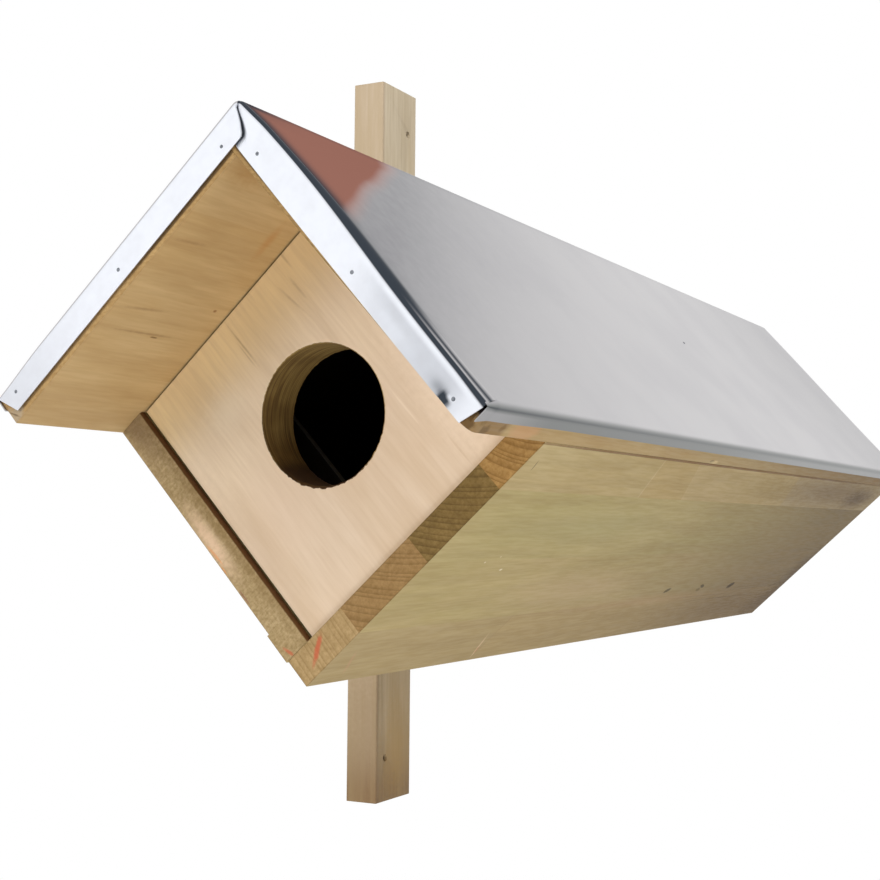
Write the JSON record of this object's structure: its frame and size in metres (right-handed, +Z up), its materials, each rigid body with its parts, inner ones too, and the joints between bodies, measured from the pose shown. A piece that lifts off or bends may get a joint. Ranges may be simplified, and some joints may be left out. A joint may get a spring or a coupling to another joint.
{
  "type": "owl nest box",
  "caption": "Square wooden tunnel nest box for little owls, hung on its edge from an upright batten, with a folded metal roof and a round entrance.",
  "frame": {"origin": "middle of the batten's outer broad face, which lies against the tree, post or wall", "axes": "+Z up along the batten, +Y along the tunnel from the entrance end to the closed end, +X from the tree towards the box"},
  "size_m": [0.2887, 0.8404, 0.504],
  "materials": {
    "wall_wood": "planed glued pine, lightly weathered",
    "roof_wood": "planed glued pine",
    "panel_wood": "sanded pale panel",
    "batten_wood": "planed softwood",
    "sheet_metal": "galvanised, satin"
  },
  "bodies": {
    "root": {"front_panel": "panel_wood", "back_panel": "panel_wood", "baffle": "panel_wood", "right_wall_stave_1": "wall_wood", "right_wall_stave_2": "wall_wood", "right_wall_stave_3": "wall_wood", "right_wall_stave_4": "wall_wood", "left_wall_stave_1": "wall_wood", "left_wall_stave_2": "wall_wood", "left_wall_stave_3": "wall_wood", "left_wall_stave_4": "wall_wood", "right_roof_stave_1": "roof_wood", "right_roof_stave_2": "roof_wood", "right_roof_stave_3": "roof_wood", "right_roof_stave_4": "roof_wood", "left_roof_stave_1": "roof_wood", "left_roof_stave_2": "roof_wood", "left_roof_stave_3": "roof_wood", "left_roof_stave_4": "roof_wood", "roof_sheet": "sheet_metal", "mounting_batten": "batten_wood"}
  },
  "joints": []
}
